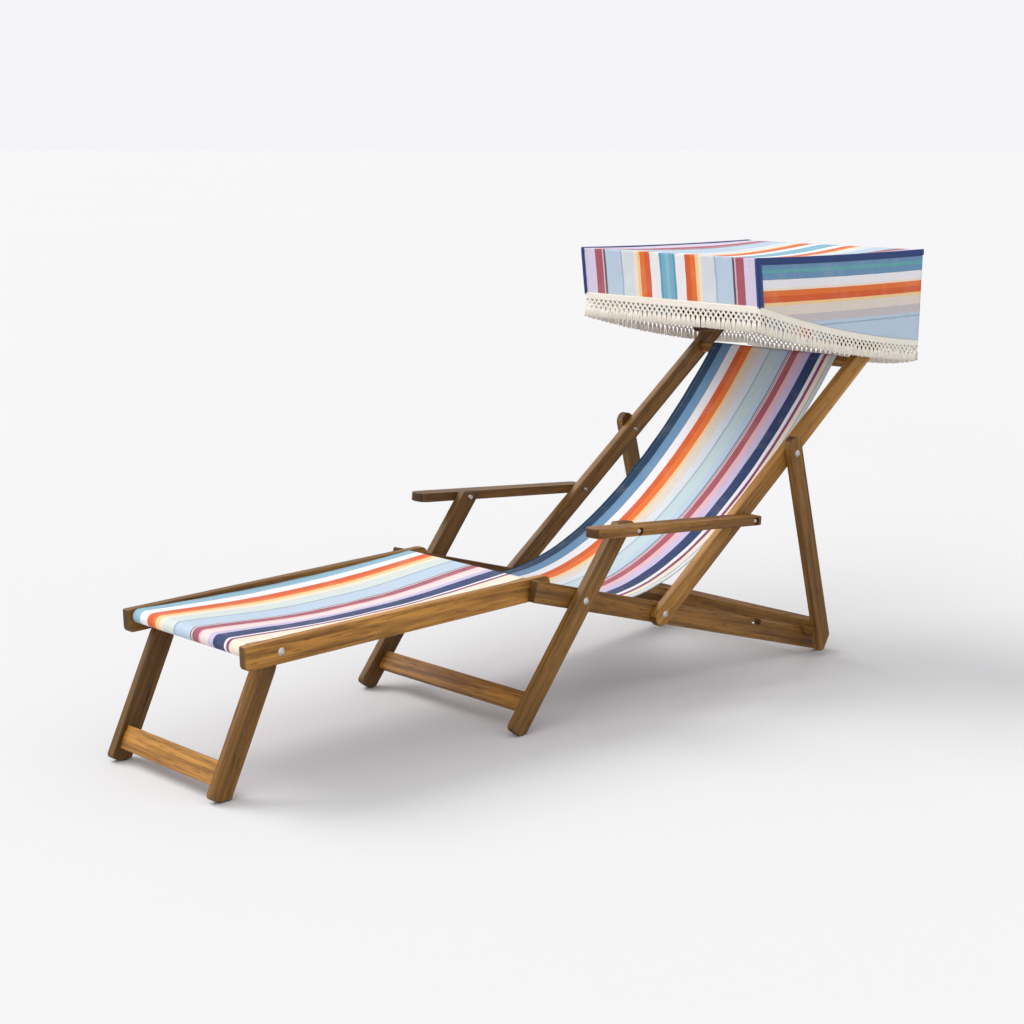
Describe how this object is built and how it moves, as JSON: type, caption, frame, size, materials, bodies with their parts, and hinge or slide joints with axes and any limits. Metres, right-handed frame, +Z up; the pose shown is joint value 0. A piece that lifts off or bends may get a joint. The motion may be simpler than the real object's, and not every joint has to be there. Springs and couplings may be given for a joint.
{
  "type": "deck chair",
  "caption": "Folding timber deck chair with a striped sling seat, flat arms, a hooked footrest on folding legs, a rack-and-prop recline and a tilting fringed canopy.",
  "frame": {"origin": "on the floor, under the middle of the chair's overall box", "axes": "+Z up, the sitter faces -Y and the footrest points to -Y, +X is the sitter's left side"},
  "size_m": [0.668, 2.1998, 1.0371],
  "materials": {
    "wood": "oiled hardwood",
    "wood_pale": "oiled hardwood, lighter boards",
    "steel": "bright bolts and washers",
    "glide": "matt dark pads",
    "sling": "striped canvas",
    "canopy_cloth": "striped canvas",
    "cord": "knotted cotton cord"
  },
  "bodies": {
    "seat_frame": {"seat_rail_left": "wood", "seat_rail_right": "wood", "seat_front_bar": "wood_pale", "leg_pivot_bolt_left": "steel", "leg_pivot_bolt_right": "steel", "back_pivot_bolt_left": "steel", "back_pivot_bolt_right": "steel", "seat_sling": "sling"},
    "front_legs": {"front_leg_left": "wood", "front_leg_right": "wood", "front_leg_bar": "wood_pale", "front_leg_glide_left": "glide", "front_leg_glide_right": "glide"},
    "back_frame": {"back_rail_left": "wood", "back_rail_right": "wood", "back_top_bar": "wood_pale", "prop_pivot_bolt_left": "steel", "prop_pivot_bolt_right": "steel"},
    "arm_left": {"arm_left": "wood_pale", "arm_front_bolt_left": "steel", "arm_rear_bolt_left": "steel"},
    "arm_right": {"arm_right": "wood_pale", "arm_front_bolt_right": "steel", "arm_rear_bolt_right": "steel"},
    "prop_frame": {"prop_leg_left": "wood", "prop_leg_right": "wood", "prop_bar": "wood"},
    "footrest": {"footrest_rail_left": "wood", "footrest_rail_right": "wood", "footrest_front_bar": "wood_pale", "footrest_rear_bar": "wood_pale", "footrest_leg_bolt_left": "steel", "footrest_leg_bolt_right": "steel", "footrest_sling": "sling"},
    "footrest_legs": {"footrest_leg_left": "wood", "footrest_leg_right": "wood", "footrest_leg_bar": "wood_pale", "footrest_leg_glide_left": "glide", "footrest_leg_glide_right": "glide"},
    "canopy": {"canopy_cover": "canopy_cloth", "canopy_fringe": "cord", "canopy_base_left": "wood", "canopy_base_right": "wood", "canopy_front_strut_left": "wood", "canopy_front_strut_right": "wood", "canopy_rear_strut_left": "wood", "canopy_rear_strut_right": "wood", "canopy_front_bar": "wood_pale", "canopy_rear_bar": "wood_pale", "canopy_pivot_bolt_left": "steel", "canopy_pivot_bolt_right": "steel"}
  },
  "joints": [
    {"name": "back_recline", "type": "hinge", "parent": "seat_frame", "child": "back_frame", "pos_m": [0, 0.15071, 0.20498], "axis": [1, 0, 0], "range_deg": [0, 20], "deforming": ["seat_sling"]},
    {"name": "front_leg_pivot", "type": "hinge", "parent": "seat_frame", "child": "front_legs", "pos_m": [0, -0.11669, 0.281], "axis": [1, 0, 0], "range_deg": [0, 27.6]},
    {"name": "arm_left_pivot", "type": "hinge", "parent": "back_frame", "child": "arm_left", "pos_m": [0, 0.41355, 0.40449], "axis": [1, 0, 0], "range_deg": [-14.5, 0]},
    {"name": "arm_right_pivot", "type": "hinge", "parent": "back_frame", "child": "arm_right", "pos_m": [0, 0.41355, 0.40449], "axis": [1, 0, 0], "range_deg": [-14.5, 0]},
    {"name": "prop_pivot", "type": "hinge", "parent": "back_frame", "child": "prop_frame", "pos_m": [0, 0.60154, 0.54718], "axis": [1, 0, 0], "range_deg": [-18, 0]},
    {"name": "canopy_tilt", "type": "hinge", "parent": "back_frame", "child": "canopy", "pos_m": [0, 0.94724, 0.80958], "axis": [1, 0, 0], "range_deg": [-12, 12]},
    {"name": "footrest_lift", "type": "hinge", "parent": "seat_frame", "child": "footrest", "pos_m": [0, -0.21433, 0.30876], "axis": [-1, 0, 0], "range_deg": [0, 90]},
    {"name": "footrest_leg_fold", "type": "hinge", "parent": "footrest", "child": "footrest_legs", "pos_m": [0, -0.94032, 0.30002], "axis": [1, 0, 0], "range_deg": [0, 105]}
  ],
  "couplings": [
    {"joint": "front_leg_pivot", "follows": "back_recline", "ratio": 1.378},
    {"joint": "arm_left_pivot", "follows": "back_recline", "ratio": -0.723},
    {"joint": "arm_right_pivot", "follows": "back_recline", "ratio": -0.723},
    {"joint": "prop_pivot", "follows": "back_recline", "ratio": -0.9}
  ]
}
